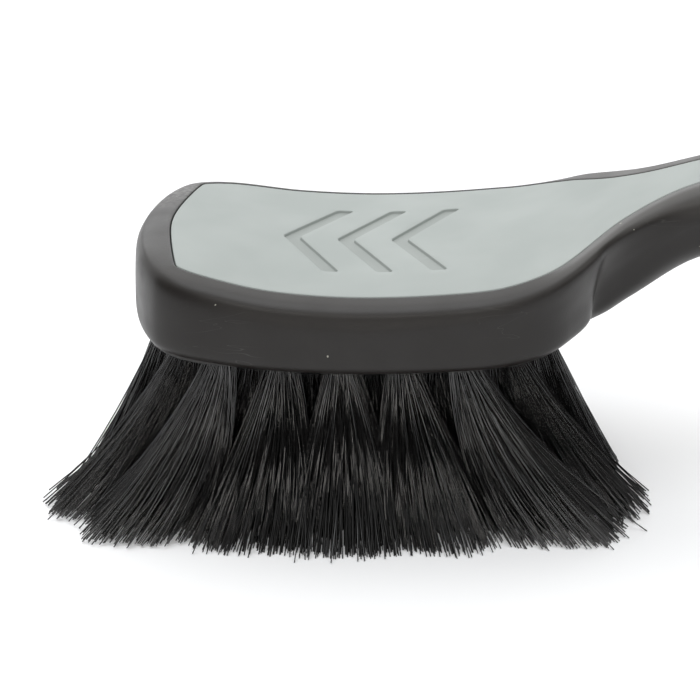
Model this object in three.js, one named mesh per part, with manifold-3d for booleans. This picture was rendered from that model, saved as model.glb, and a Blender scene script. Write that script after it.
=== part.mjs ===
// A short-handled wheel brush: a hard core with blind tuft holes, a soft black overmould round its sides
// and handle, a soft grey inlay along its top, and tufts of filament held in the holes by wire anchors.
//
// Millimetres, +Z up, +X from the nose of the head towards the end of the handle. Shapes are drawn with
// x = 0 at the middle of the head and z = 0 at the filament tips, and the finished group is then moved so
// that its origin is the middle of the bottom of its box.
import * as THREE from "three";
import { mergeVertices } from "three/addons/utils/BufferGeometryUtils.js";
import Module from "manifold-3d";

// Plan sizes
const overallLength = 220; // nose to handle end, without the spread of the filaments
const headLength = 97;
const headWidth = 70;
const neckWidth = 24.4; // where the head has run out into the handle
const waistWidth = 23; // narrowest part of the handle
const gripWidth = 27.5; // fullest part of the handle
const endWidth = 25; // just before the handle's round end

// Heights
const trim = 36.5; // filament tips to the underside of the head
const headThickness = 17; // at the middle of the head
const crown = 1.6; // how much the top falls from its middle to the sides of the head

// Walls and fits
const gap = 0.3; // clearance left between pieces that touch
const skinWall = 2.5; // soft overmould over the hard core
const rimWidth = 5.8; // black border beside the inlay, along the head
const noseRimWidth = 8.2; // the same border at the nose
const gripRimWidth = 5.6; // and on the handle
const inlayThickness = 2.2;
const lipDepth = 2; // overmould lip that the border leaves over the core
const headEdgeRound = 2.6; // lower edge of the head
const gripEdgeRound = 6.2; // lower edges of the handle

// Tufting
const holeRadius = 3;
const holeDepth = 8.5;
const padProud = 1; // tufting face below the overmould's lower edge
const padMargin = 1.8; // core left outside the outermost holes
const noseMargin = 8.7; // nose to the first tuft
const rearMargin = 13.7; // last tuft to the back of the head
const sideMargin = 11; // side of the head to the outermost row
const rowCounts = [5, 6, 6, 6, 5]; // tufts in each row, from the -Y side to the +Y side
const rowReach = [0.685, 0.87, 1, 0.87, 0.685]; // how far along the head each row runs
const noseSpread = 12; // how far the tufts at the nose lean out, in the middle row
const noseCornerSpread = 21; // and in the outermost rows
const rearSpread = 9; // the same at the back of the head
const rearCornerSpread = 16;
const sideSpread = 14.6; // how far the side tufts lean out
const holeLean = 0.3; // share of a tuft's spread that its hole is drilled at
const tuftEndFill = 0.64; // end radius of a tuft, against the pitch of the rows
const noseTipRaise = 2.5; // the leaning tufts at the nose finish above the rest

// Wire anchors
const anchorThickness = 0.5;
const anchorHeight = 2;
const anchorBite = 0.6; // each end, in the wall of its hole

// Hanging hole
const hangRadius = 4.75;
const hangRingRadius = 7.6;
const hangInset = 13; // from the end of the handle
const hangRingProud = 0.4;

// Inlay mark: three plain chevrons
const markDepth = 0.6;
const markBar = 3.4;
const markPitch = 11.5;
const markReach = 17; // half the width of a chevron
const markSweep = 10; // how far its arms trail behind its point

const nose = -headLength / 2;
const headRear = headLength / 2;
const handleEnd = nose + overallLength;
const hangX = handleEnd - hangInset;
const halfWidth = headWidth / 2;

const wasm = await Module();
wasm.setup();

// ---------- solids ----------

function solidOf(geometry) {
  const plain = new THREE.BufferGeometry();
  plain.setAttribute("position", geometry.getAttribute("position"));
  if (geometry.index) plain.setIndex(geometry.index);
  const merged = mergeVertices(plain, 1e-4);
  return new wasm.Manifold(
    new wasm.Mesh({
      numProp: 3,
      vertProperties: merged.getAttribute("position").array,
      triVerts: new Uint32Array(merged.index.array),
    }),
  );
}

function geometryOf(solid) {
  const mesh = solid.getMesh();
  const geometry = new THREE.BufferGeometry();
  geometry.setAttribute("position", new THREE.BufferAttribute(mesh.vertProperties, 3));
  geometry.setIndex(new THREE.BufferAttribute(mesh.triVerts, 1));
  geometry.computeVertexNormals();
  return geometry;
}

function cylinderSolid(radius, low, high, x, y, sides) {
  const geometry = new THREE.CylinderGeometry(radius, radius, high - low, sides);
  geometry.rotateX(Math.PI / 2);
  geometry.translate(x, y, (low + high) / 2);
  return solidOf(geometry);
}

// ---------- heights along the brush ----------

// A smooth height through a few points, by their x.
function heightThrough(points) {
  const slopes = points.map((point, i) => {
    const before = points[Math.max(i - 1, 0)];
    const after = points[Math.min(i + 1, points.length - 1)];
    return (after[1] - before[1]) / (after[0] - before[0]);
  });
  return (x) => {
    const last = points.length - 1;
    const at = Math.min(Math.max(x, points[0][0]), points[last][0]);
    const next = Math.min(Math.max(points.findIndex((point) => point[0] >= at), 1), last);
    const [x0, z0] = points[next - 1];
    const [x1, z1] = points[next];
    const span = x1 - x0;
    const t = (at - x0) / span;
    const s = 1 - t;
    return (
      z0 * s * s * (1 + 2 * t) +
      z1 * t * t * (1 + 2 * s) +
      (slopes[next - 1] * s - slopes[next] * t) * span * s * t
    );
  };
}

const headBase = trim;
const headTop = trim + headThickness;

// Height of the middle of the top: dished over the head, then up an S-curve into the handle.
const ridge = heightThrough([
  [nose, headTop + 4.6],
  [nose + 7, headTop + 4.9],
  [nose + 17, headTop + 3.7],
  [nose + 33, headTop + 1],
  [4, headTop],
  [headRear - 19.5, headTop + 1.4],
  [headRear - 8.5, headTop + 3.5],
  [headRear - 1, headTop + 5.9],
  [headRear + 9, headTop + 10.2],
  [headRear + 24, headTop + 15.6],
  [headRear + 60, headTop + 23.6],
  [headRear + 96, headTop + 27],
  [handleEnd, headTop + 26.4],
]);

// Height of the underside: slightly bowed under the head, then up under the handle.
const keel = heightThrough([
  [nose, headBase + 2.8],
  [nose + 15, headBase + 1.8],
  [nose + 34, headBase + 0.4],
  [6, headBase],
  [headRear - 16, headBase + 0.9],
  [headRear - 4, headBase + 2],
  [headRear + 3, headBase + 3.6],
  [headRear + 9, headBase + 7.3],
  [headRear + 24, headBase + 15.9],
  [headRear + 60, headBase + 23.4],
  [handleEnd - 30, headBase + 26.4],
  [handleEnd, headBase + 26.4],
]);

function topAt(x, y) {
  return ridge(x) - crown * (y / halfWidth) ** 2;
}

// 0 on the head and 1 on the handle, with a smooth change at the neck.
function handleShare(x) {
  return THREE.MathUtils.smoothstep(x, headRear - 9, headRear + 22);
}

function mix(a, b, share) {
  return a + (b - a) * share;
}

// ---------- plan outline ----------

const outlineSteps = 48; // along one side, nose to handle end

// One side of the plan, +Y. At the foot the back of the head turns in squarely, and at the shoulder it
// runs out into the handle.
function sideOutline(atShoulder) {
  const neck = neckWidth / 2;
  const path = new THREE.Path();
  path.moveTo(nose, 0);
  path.bezierCurveTo(
    nose, 11,
    nose + 4, halfWidth - 11.6,
    nose + 7.5, halfWidth - 8,
  );
  path.bezierCurveTo(
    nose + 10.8, halfWidth - 4.6,
    nose + 16.5, halfWidth - 2.8,
    nose + 23.5, halfWidth - 1.8,
  );
  path.bezierCurveTo(
    nose + 36, halfWidth,
    headRear - 38, halfWidth,
    headRear - 24.5, halfWidth - (atShoulder ? 0 : 0.5),
  );
  if (atShoulder) {
    path.bezierCurveTo(
      headRear - 13.5, halfWidth,
      headRear - 3.5, halfWidth - 2.4,
      headRear + 2, halfWidth - 8.5,
    );
    path.bezierCurveTo(
      headRear + 5, halfWidth - 11.4,
      headRear + 7.8, neck + 7.7,
      headRear + 11, neck + 5.3,
    );
  } else {
    path.bezierCurveTo(
      headRear - 15, halfWidth - 1,
      headRear - 7.6, halfWidth - 6,
      headRear - 3.8, halfWidth - 11.7,
    );
    path.bezierCurveTo(
      headRear + 0.2, halfWidth - 17.6,
      headRear - 0.4, neck + 1.4,
      headRear + 4.5, neck + 0.3,
    );
  }
  path.bezierCurveTo(
    headRear + (atShoulder ? 15 : 11), neck + (atShoulder ? 2.5 : 0),
    headRear + 19, neck + 0.5,
    headRear + 25.5, neck,
  );
  path.bezierCurveTo(
    headRear + 36, waistWidth / 2 - 0.6,
    headRear + 46, waistWidth / 2 - 0.2,
    headRear + 60, waistWidth / 2 + 0.6,
  );
  path.bezierCurveTo(
    headRear + 78, gripWidth / 2 + 0.2,
    handleEnd - 30, gripWidth / 2 + 0.4,
    handleEnd - 12, endWidth / 2,
  );
  path.bezierCurveTo(
    handleEnd - 5, endWidth / 2 - 1.4,
    handleEnd, 7,
    handleEnd, 0,
  );
  return path.getSpacedPoints(outlineSteps);
}

// The inward normal at each point of a side whose ends lie on the centre line.
function inwardNormals(side) {
  return side.map((point, i) => {
    if (i === 0) return new THREE.Vector2(1, 0);
    if (i === side.length - 1) return new THREE.Vector2(-1, 0);
    const along = side[i + 1].clone().sub(side[i - 1]).normalize();
    return new THREE.Vector2(along.y, -along.x);
  });
}

const foot = sideOutline(false);
const shoulder = sideOutline(true);
const footNormals = inwardNormals(foot);
const shoulderNormals = inwardNormals(shoulder);

// Point i of the plan, some share of the way from foot to shoulder, moved inwards.
function planPoint(i, share, inset) {
  const point = foot[i].clone().lerp(shoulder[i], share);
  const normal = footNormals[i].clone().lerp(shoulderNormals[i], share).normalize();
  return point.addScaledVector(normal, inset);
}

// ---------- bodies made of levels ----------

// A closed body. Each level holds one side of the plan, as points with a height, from the nose end to
// the handle end, with both ends on the centre line. The other side mirrors it. Ribs across the first
// and the last level close the body, and follow the surfaces given for them.
function bodyOfLevels(levels, underAt, overAt, ribSteps) {
  const positions = [];
  const triangles = [];
  const last = levels[0].length - 1;
  const around = 2 * last;
  const put = (x, y, z) => positions.push(x, y, z) / 3 - 1;
  for (const level of levels) {
    for (let i = 0; i <= last; i++) put(level[i].x, i % last ? level[i].y : 0, level[i].z);
    for (let i = last - 1; i > 0; i--) put(level[i].x, -level[i].y, level[i].z);
  }
  for (let j = 0; j + 1 < levels.length; j++) {
    for (let i = 0; i < around; i++) {
      const a = j * around + i;
      const b = j * around + ((i + 1) % around);
      triangles.push(a, a + around, b, b, a + around, b + around);
    }
  }
  const cap = (j, heightAt, facingUp) => {
    const ribs = [];
    for (let i = 0; i <= last; i++) {
      const edge = levels[j][i];
      const near = j * around + i;
      if (i % last === 0) {
        ribs.push(Array(ribSteps + 1).fill(near));
        continue;
      }
      const rib = [near];
      for (let k = 1; k < ribSteps; k++) {
        const y = edge.y * (1 - (2 * k) / ribSteps);
        rib.push(put(edge.x, y, heightAt(edge.x, y)));
      }
      rib.push(j * around + around - i);
      ribs.push(rib);
    }
    for (let i = 0; i < last; i++) {
      for (let k = 0; k < ribSteps; k++) {
        const [a, b, c, d] = [ribs[i][k], ribs[i][k + 1], ribs[i + 1][k], ribs[i + 1][k + 1]];
        const faces = facingUp ? [[a, b, c], [b, d, c]] : [[a, c, b], [b, c, d]];
        for (const face of faces) if (new Set(face).size === 3) triangles.push(...face);
      }
    }
  };
  cap(0, underAt, false);
  cap(levels.length - 1, overAt, true);
  const geometry = new THREE.BufferGeometry();
  geometry.setAttribute("position", new THREE.Float32BufferAttribute(positions, 3));
  geometry.setIndex(triangles);
  return solidOf(geometry);
}

function level(heightOf, share, insetOf) {
  return foot.map((_, i) => {
    const x = planPoint(i, share, 0).x;
    const at = planPoint(i, share, insetOf(x));
    return { x: at.x, y: at.y, z: heightOf(at.x, at.y) };
  });
}

function rimAt(x) {
  const noseShare = 1 - THREE.MathUtils.smoothstep(x, nose, nose + 9);
  return mix(mix(rimWidth, noseRimWidth, noseShare), gripRimWidth, handleShare(x));
}

// How much the border's own rounding falls: it stays flatter from the neck on.
function borderFall(x) {
  return mix(1, 0.3, THREE.MathUtils.smoothstep(x, headRear - 14, headRear + 4));
}

function edgeRoundAt(x) {
  return mix(headEdgeRound, gripEdgeRound, handleShare(x));
}

// The whole brush body as moulded, before it is divided into core, overmould and inlay. grow moves its
// walls out, or in where it is negative, and lift raises its underside.
function envelope(grow, lift, topDrop) {
  const under = (x) => keel(x) + lift;
  const roundAt = (x) => edgeRoundAt(x) + 0.4;
  const wall = (x, part) => mix(under(x) + roundAt(x), ridge(x) - 4, part);
  return bodyOfLevels(
    [
      level((x) => under(x), 0, (x) => roundAt(x) - grow),
      level((x) => under(x) + 0.12 * roundAt(x), 0, (x) => 0.5 * roundAt(x) - grow),
      level((x) => under(x) + 0.48 * roundAt(x), 0, (x) => 0.13 * roundAt(x) - grow),
      level((x) => wall(x, 0), 0.1, () => -grow),
      level((x) => wall(x, 0.6), 0.55, () => 0.5 - grow),
      level((x, y) => topAt(x, y) - 1.2 - 1.4 * borderFall(x) - topDrop, 0.85, () => 1.3 - grow),
      level((x, y) => topAt(x, y) - 0.8 * borderFall(x) - topDrop, 1, () => 3 - grow),
      level((x, y) => topAt(x, y) - topDrop, 1, (x) => rimAt(x) - grow),
    ],
    under,
    (x, y) => topAt(x, y) - topDrop,
    6,
  );
}

// ---------- tuft pattern ----------

const firstTuft = nose + noseMargin;
const lastTuft = headRear - rearMargin;
const patternMiddle = (firstTuft + lastTuft) / 2;
const patternReach = (lastTuft - firstTuft) / 2;
const rowPitch = (headWidth - 2 * sideMargin) / (rowCounts.length - 1);
const tuftEndRadius = tuftEndFill * rowPitch;

function padFaceAt(x) {
  return keel(x) - padProud;
}

// Where each tuft is, which way its hole leans, and where its filaments end.
const tufts = rowCounts.flatMap((count, row) => {
  const y = (row - (rowCounts.length - 1) / 2) * rowPitch;
  const reach = patternReach * rowReach[row];
  return Array.from({ length: count }, (_, column) => {
    const x = patternMiddle + reach * ((2 * column) / (count - 1) - 1);
    const along = (x - patternMiddle) / reach;
    const across = y / (halfWidth - sideMargin);
    const spread = (share) => share * (0.6 + 0.4 * share * share);
    const endSpread =
      along < 0
        ? mix(noseSpread, noseCornerSpread, Math.abs(across))
        : mix(rearSpread, rearCornerSpread, Math.abs(across));
    const face = new THREE.Vector3(x, y, padFaceAt(x));
    const tip = new THREE.Vector3(
      x + endSpread * spread(along),
      y + sideSpread * spread(across),
      noseTipRaise * THREE.MathUtils.smoothstep(-along, 0.7, 1),
    );
    const lean = new THREE.Vector3((tip.x - x) * holeLean, (tip.y - y) * holeLean, tip.z - face.z);
    return { name: `r${row + 1}_${column + 1}`, face, tip, lean: lean.normalize() };
  });
});

// A piece drawn upright along Z, from z = 0 at the tufting face, moved to a tuft's hole.
function inHole(geometry, tuft) {
  const turn = new THREE.Quaternion();
  turn.setFromUnitVectors(new THREE.Vector3(0, 0, 1), tuft.lean.clone().negate());
  geometry.applyQuaternion(turn);
  geometry.translate(tuft.face.x, tuft.face.y, tuft.face.z);
  return geometry;
}

function upright(radius, low, high, sides) {
  const geometry = new THREE.CylinderGeometry(radius, radius, high - low, sides);
  geometry.rotateX(Math.PI / 2);
  geometry.translate(0, 0, (low + high) / 2);
  return geometry;
}

const holeSides = 12;
const anchorMiddle = holeDepth - gap - 1.2 - anchorHeight / 2; // the fold of the tuft lies behind it

function anchorBox(clearance) {
  const geometry = new THREE.BoxGeometry(
    2 * (holeRadius + anchorBite + clearance),
    anchorThickness + 2 * clearance,
    anchorHeight + 2 * clearance,
  );
  geometry.translate(0, 0, anchorMiddle);
  return geometry;
}

// ---------- pieces ----------

// The raised face that holds the tufts, as plan points of one side with a height.
function padLevel(margin, heightOf) {
  const reach = patternReach + holeRadius + padMargin + margin;
  const side = halfWidth - sideMargin + holeRadius + padMargin + margin;
  const round = 16;
  const path = new THREE.Path();
  path.moveTo(patternMiddle - reach, 0);
  path.lineTo(patternMiddle - reach, side - round);
  path.absarc(patternMiddle - reach + round, side - round, round, Math.PI, Math.PI / 2, true);
  path.lineTo(patternMiddle + reach - round, side);
  path.absarc(patternMiddle + reach - round, side - round, round, Math.PI / 2, 0, true);
  path.lineTo(patternMiddle + reach, 0);
  return path.getSpacedPoints(30).map((point) => ({ x: point.x, y: point.y, z: heightOf(point.x) }));
}

function padSolid(margin, faceAt, backAt) {
  return bodyOfLevels([padLevel(margin, faceAt), padLevel(margin, backAt)], faceAt, backAt, 4);
}

function coreBlank(clearance) {
  const inner = envelope(clearance - skinWall, skinWall - clearance, lipDepth - clearance);
  const pad = padSolid(clearance, (x) => padFaceAt(x) - clearance, (x) => keel(x) + 2 * skinWall);
  return inner.add(pad);
}

const hangRingTop = Math.max(ridge(hangX - hangRingRadius), ridge(hangX + hangRingRadius)) + hangRingProud;
const hangRingFoot = keel(hangX - hangRingRadius) - hangRingProud;

function inlayEndPlan(inset) {
  const inlayEnd = hangX - hangRingRadius - 9 - inset;
  const tip = 16; // length of the inlay's round end
  const straight = shoulder
    .map((_, i) => planPoint(i, 1, rimAt(shoulder[i].x) + inset))
    .filter((point) => point.x < inlayEnd - tip);
  const edge = straight[straight.length - 1];
  const turn = new THREE.CubicBezierCurve(
    edge,
    new THREE.Vector2(mix(edge.x, inlayEnd, 0.55), edge.y + 0.2),
    new THREE.Vector2(inlayEnd, edge.y * 0.6),
    new THREE.Vector2(inlayEnd, 0),
  );
  return [...straight, ...turn.getPoints(7).slice(1)];
}

function inlaySolid(inset, drop, thickness) {
  const plan = inlayEndPlan(inset);
  const at = (height) => plan.map((point) => ({ x: point.x, y: point.y, z: height(point.x, point.y) }));
  const over = (x, y) => topAt(x, y) - drop;
  const under = (x, y) => topAt(x, y) - drop - thickness;
  return bodyOfLevels([at(under), at(over)], under, over, 6);
}

// Three chevrons that point to the nose, as one cutter each, sunk evenly into the curved top.
function markCutters() {
  return [-1, 0, 1].map((place) => {
    const point = place * markPitch - markSweep / 2;
    const shape = new THREE.Shape();
    shape.moveTo(point, 0);
    shape.lineTo(point + markSweep, markReach);
    shape.lineTo(point + markSweep + markBar, markReach);
    shape.lineTo(point + markBar, 0);
    shape.lineTo(point + markSweep + markBar, -markReach);
    shape.lineTo(point + markSweep, -markReach);
    const cutter = new THREE.ExtrudeGeometry(shape, { depth: 1, bevelEnabled: false });
    const position = cutter.getAttribute("position");
    for (let i = 0; i < position.count; i++) {
      const surface = topAt(position.getX(i), position.getY(i));
      position.setZ(i, position.getZ(i) > 0 ? surface + 3 : surface - markDepth);
    }
    return solidOf(cutter);
  });
}

function makeCore() {
  let core = coreBlank(0).subtract(inlaySolid(-gap, 0, inlayThickness + gap));
  core = core.add(cylinderSolid(hangRingRadius, hangRingFoot, hangRingTop, hangX, 0, 32));
  core = core.subtract(cylinderSolid(hangRadius, hangRingFoot - 1, hangRingTop + 1, hangX, 0, 24));
  for (const tuft of tufts) {
    core = core.subtract(solidOf(inHole(upright(holeRadius, -2, holeDepth, holeSides), tuft)));
    core = core.subtract(solidOf(inHole(anchorBox(gap), tuft)));
  }
  return core;
}

function makeOvermould() {
  const pocket = inlaySolid(-gap, -2, inlayThickness + 2 + gap);
  return envelope(0, 0, 0)
    .subtract(coreBlank(gap))
    .subtract(pocket)
    .subtract(cylinderSolid(hangRingRadius + gap, hangRingFoot - 3, hangRingTop + 3, hangX, 0, 32));
}

function makeInlay() {
  return markCutters().reduce(
    (inlay, cutter) => inlay.subtract(cutter),
    inlaySolid(0, 0, inlayThickness),
  );
}

// A tuft: straight in its hole, then spreading along a curve that leaves in line with the hole.
function makeTuft(tuft) {
  const sides = holeSides;
  const rootRadius = holeRadius - gap;
  const depth = holeDepth - gap;
  const length = tuft.face.distanceTo(tuft.tip);
  const bend = tuft.face.clone().addScaledVector(tuft.lean, length * 0.5);
  const curve = new THREE.QuadraticBezierCurve3(tuft.face, bend, tuft.tip);
  const rings = [
    { middle: tuft.face.clone().addScaledVector(tuft.lean, -depth), radius: rootRadius },
    ...[0, 0.35, 0.7, 1].map((t) => ({
      middle: curve.getPoint(t),
      radius: mix(rootRadius, tuftEndRadius, t ** 1.2),
      level: t,
    })),
  ];
  const tilt = new THREE.Quaternion();
  tilt.setFromUnitVectors(new THREE.Vector3(0, 0, -1), tuft.lean);
  const positions = [];
  for (const ring of rings) {
    const turn = tilt.clone().slerp(new THREE.Quaternion(), ring.level ?? 0);
    for (let i = 0; i < sides; i++) {
      const angle = (2 * Math.PI * i) / sides;
      const out = new THREE.Vector3(Math.cos(angle) * ring.radius, Math.sin(angle) * ring.radius, 0);
      out.applyQuaternion(turn).add(ring.middle);
      positions.push(out.x, out.y, out.z);
    }
  }
  const triangles = [];
  for (let j = 0; j + 1 < rings.length; j++) {
    for (let i = 0; i < sides; i++) {
      const a = j * sides + i;
      const b = j * sides + ((i + 1) % sides);
      triangles.push(a, a + sides, b, b, a + sides, b + sides);
    }
  }
  const tipRing = (rings.length - 1) * sides;
  for (let i = 1; i + 1 < sides; i++) {
    triangles.push(0, i, i + 1, tipRing, tipRing + i + 1, tipRing + i);
  }
  const geometry = new THREE.BufferGeometry();
  geometry.setAttribute("position", new THREE.Float32BufferAttribute(positions, 3));
  geometry.setIndex(triangles);
  return solidOf(geometry).subtract(solidOf(inHole(anchorBox(gap), tuft)));
}

// ---------- assembly ----------

const materials = {
  core: new THREE.MeshStandardMaterial({ color: 0x1d1c1c, roughness: 0.5, metalness: 0 }),
  overmould: new THREE.MeshStandardMaterial({ color: 0x35322f, roughness: 0.6, metalness: 0 }),
  inlay: new THREE.MeshStandardMaterial({ color: 0xb4bab5, roughness: 0.7, metalness: 0 }),
  filament: new THREE.MeshStandardMaterial({ color: 0x141414, roughness: 0.35, metalness: 0 }),
  anchor: new THREE.MeshStandardMaterial({ color: 0xb9b08a, roughness: 0.3, metalness: 1 }),
};

const brush = new THREE.Group();

function addPiece(name, geometry, material) {
  const mesh = new THREE.Mesh(geometry, material);
  mesh.name = name;
  brush.add(mesh);
}

addPiece("core", geometryOf(makeCore()), materials.core);
addPiece("grip_overmould", geometryOf(makeOvermould()), materials.overmould);
addPiece("top_inlay", geometryOf(makeInlay()), materials.inlay);
for (const tuft of tufts) {
  addPiece(`tuft_${tuft.name}`, geometryOf(makeTuft(tuft)), materials.filament);
  addPiece(`anchor_${tuft.name}`, inHole(anchorBox(0), tuft), materials.anchor);
}

const box = new THREE.Box3().setFromObject(brush);
const middle = box.getCenter(new THREE.Vector3());
brush.position.set(-middle.x, -middle.y, -box.min.z);

const part = new THREE.Group();
part.add(brush);

export default part;
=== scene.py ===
import math
import time

import bmesh
import bpy
import numpy as np
from mathutils import Matrix, Vector, geometry


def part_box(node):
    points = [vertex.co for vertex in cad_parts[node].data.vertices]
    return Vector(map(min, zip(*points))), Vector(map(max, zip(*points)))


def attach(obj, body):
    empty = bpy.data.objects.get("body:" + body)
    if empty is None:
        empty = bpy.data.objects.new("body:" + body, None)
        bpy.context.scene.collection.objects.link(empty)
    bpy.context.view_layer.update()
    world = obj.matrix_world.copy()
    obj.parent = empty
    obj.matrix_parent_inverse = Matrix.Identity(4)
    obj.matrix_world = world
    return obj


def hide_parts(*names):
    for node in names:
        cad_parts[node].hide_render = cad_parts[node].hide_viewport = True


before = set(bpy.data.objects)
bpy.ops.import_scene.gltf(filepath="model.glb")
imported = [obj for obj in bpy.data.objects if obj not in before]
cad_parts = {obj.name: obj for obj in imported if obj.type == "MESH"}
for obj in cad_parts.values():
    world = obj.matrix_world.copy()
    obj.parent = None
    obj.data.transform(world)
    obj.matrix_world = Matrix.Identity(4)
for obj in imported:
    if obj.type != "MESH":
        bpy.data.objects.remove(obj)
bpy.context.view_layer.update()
startTime = time.time()
mm = 0.001
scene = bpy.context.scene


def report(stage):
    print(f"{stage}: {time.time() - startTime:.1f} s")


# the body's lines, in mm, with x = 0 at the middle of the head
bodyLines = {
    "nose": -48.5,
    "headRear": 48.5,
    "handleEnd": 171.5,
    "halfWidth": 35.0,
    "neckHalf": 12.2,
    "waistHalf": 11.5,
    "gripHalf": 13.75,
    "endHalf": 12.5,
    "base": 36.5,       # underside of the head
    "thick": 17.0,
    "crown": 1.6,       # fall of the top from its middle to the sides
    "rim": 5.8,         # black border beside the inlay
    "noseRim": 8.2,
    "gripRim": 5.6,
    "edgeRound": 2.6,   # lower edge of the head
    "endRound": 5.5,    # and round the hang hole
    "gripRound": 9.0,   # lower edges of the handle
    "hangX": 158.5,
    "hangRing": 7.9,
    "inlayEnd": 141.9,
    "inlayTip": 16.0,   # length of the inlay's round end
    "steps": (110, 84, 84),  # points along one side: head, its rear corner, handle
}
nose, headRear, handleEnd = (bodyLines[k] for k in ("nose", "headRear", "handleEnd"))
headBase, headTop = bodyLines["base"], bodyLines["base"] + bodyLines["thick"]
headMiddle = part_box("grip_overmould")[0].x / mm - nose


def smoothThrough(points):
    xs = np.array([p[0] for p in points], float)
    zs = np.array([p[1] for p in points], float)
    order = np.arange(len(xs))
    before, after = np.maximum(order - 1, 0), np.minimum(order + 1, len(xs) - 1)
    slopes = (zs[after] - zs[before]) / (xs[after] - xs[before])

    def height(x):
        x = np.clip(x, xs[0], xs[-1])
        k = np.clip(np.searchsorted(xs, x), 1, len(xs) - 1)
        span = xs[k] - xs[k - 1]
        t = (x - xs[k - 1]) / span
        s = 1 - t
        return (zs[k - 1] * s * s * (1 + 2 * t) + zs[k] * t * t * (1 + 2 * s)
                + (slopes[k - 1] * s - slopes[k] * t) * span * s * t)
    return height


ridge = smoothThrough([
    (nose, headTop + 4.6), (nose + 7, headTop + 4.9), (nose + 17, headTop + 3.7), (nose + 33, headTop + 1),
    (4, headTop), (headRear - 19.5, headTop + 1.4), (headRear - 8.5, headTop + 3.5),
    (headRear - 1, headTop + 5.9), (headRear + 9, headTop + 10.2), (headRear + 24, headTop + 15.6),
    (headRear + 60, headTop + 23.6), (headRear + 96, headTop + 27), (handleEnd, headTop + 26.4)])
keel = smoothThrough([
    (nose, headBase + 2.8), (nose + 15, headBase + 1.8), (nose + 34, headBase + 0.4), (6, headBase),
    (headRear - 16, headBase + 0.9), (headRear - 4, headBase + 2), (headRear + 3, headBase + 3.4),
    (headRear + 9, headBase + 6.7), (headRear + 24, headBase + 15.0), (headRear + 60, headBase + 22.5),
    (handleEnd - 30, headBase + 25.8), (handleEnd, headBase + 26.0)])


def topAt(x, y):
    return ridge(x) - bodyLines["crown"] * (y / bodyLines["halfWidth"]) ** 2


def ease(x, low, high):
    t = np.clip((x - low) / (high - low), 0, 1)
    return t * t * (3 - 2 * t)


def mix(a, b, share):
    return a + (b - a) * share


def sampleCurve(pieces, count):
    # even points along a chain of cubic curves; each piece is start, two handles, end
    dense = []
    for piece in pieces:
        flat = [Vector((p[0], p[1], 0)) for p in piece]
        dense += [p.xy for p in geometry.interpolate_bezier(flat[0], flat[1], flat[2], flat[3], 160)][:-1]
    dense.append(Vector(pieces[-1][3]))
    dense = np.array(dense, float)
    run = np.concatenate([[0], np.cumsum(np.linalg.norm(np.diff(dense, axis=0), axis=1))])
    at = np.linspace(0, run[-1], count + 1)
    return np.stack([np.interp(at, run, dense[:, 0]), np.interp(at, run, dense[:, 1])], -1)


def sideLine(atShoulder):
    wide, neck, waist = bodyLines["halfWidth"], bodyLines["neckHalf"], bodyLines["waistHalf"]
    grip, end = bodyLines["gripHalf"], bodyLines["endHalf"]
    points = [
        (nose, 0), (nose, 11), (nose + 4, wide - 11.6),
        (nose + 7.5, wide - 8), (nose + 10.8, wide - 4.6), (nose + 16.5, wide - 2.8),
        (nose + 23.5, wide - 1.8), (nose + 36, wide), (headRear - 38, wide),
        (headRear - 24.5, wide - (0 if atShoulder else 0.5)),
    ]
    if atShoulder:
        points += [(headRear - 13.5, wide), (headRear - 3.5, wide - 2.4), (headRear + 2, wide - 8.5),
                   (headRear + 5, wide - 11.4), (headRear + 7.8, neck + 7.7), (headRear + 11, neck + 5.3),
                   (headRear + 15, neck + 2.5)]
    else:
        points += [(headRear - 14, wide - 0.9), (headRear - 6.8, wide - 5.0), (headRear - 3.0, wide - 11.0),
                   (headRear + 0.6, wide - 16.8), (headRear + 2.0, neck + 4.2), (headRear + 1.2, neck + 2.2),
                   (headRear + 0.8, neck + 0.9), (headRear + 3.4, neck + 0.2), (headRear + 7.5, neck),
                   (headRear + 11, neck)]
    points += [
        (headRear + 19, neck + 0.5), (headRear + 25.5, neck),
        (headRear + 36, waist - 0.6), (headRear + 46, waist - 0.2), (headRear + 60, waist + 0.6),
        (headRear + 78, grip + 0.2), (handleEnd - 30, grip + 0.4), (handleEnd - 12, end),
        (handleEnd - 5, end - 1.4), (handleEnd, 7), (handleEnd, 0),
    ]
    curves = [points[k:k + 4] for k in range(0, len(points) - 1, 3)]
    head, corner, handle = curves[:3], curves[3:-3], curves[-3:]
    lines = [sampleCurve(part, count) for part, count in zip((head, corner, handle), bodyLines["steps"])]
    return np.concatenate([lines[0][:-1], lines[1][:-1], lines[2]])


def inwardNormals(line):
    along = np.gradient(line, axis=0)
    along /= np.linalg.norm(along, axis=1)[:, None]
    normals = np.stack([along[:, 1], -along[:, 0]], -1)
    normals[0], normals[-1] = (1, 0), (-1, 0)
    return normals


footLine, shoulderLine = sideLine(False), sideLine(True)
footNormals, shoulderNormals = inwardNormals(footLine), inwardNormals(shoulderLine)


def planLine(share, inset):
    # the side's plan some way from foot to shoulder, moved inwards by inset(x)
    line = mix(footLine, shoulderLine, share)
    normals = mix(footNormals, shoulderNormals, share)
    normals = normals / np.linalg.norm(normals, axis=1)[:, None]
    depth = np.broadcast_to(inset(line[:, 0]) if callable(inset) else inset, len(line))
    moved = line + normals * depth[:, None]
    moved[0, 1] = moved[-1, 1] = 0
    return moved


def rimAt(x):
    noseShare = 1 - ease(x, nose, nose + 9)
    onHead = mix(bodyLines["rim"], bodyLines["noseRim"], noseShare)
    return mix(onHead, bodyLines["gripRim"], ease(x, headRear - 9, headRear + 22))


def onHandle(x):
    return ease(x, headRear - 1, headRear + 20)


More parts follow.
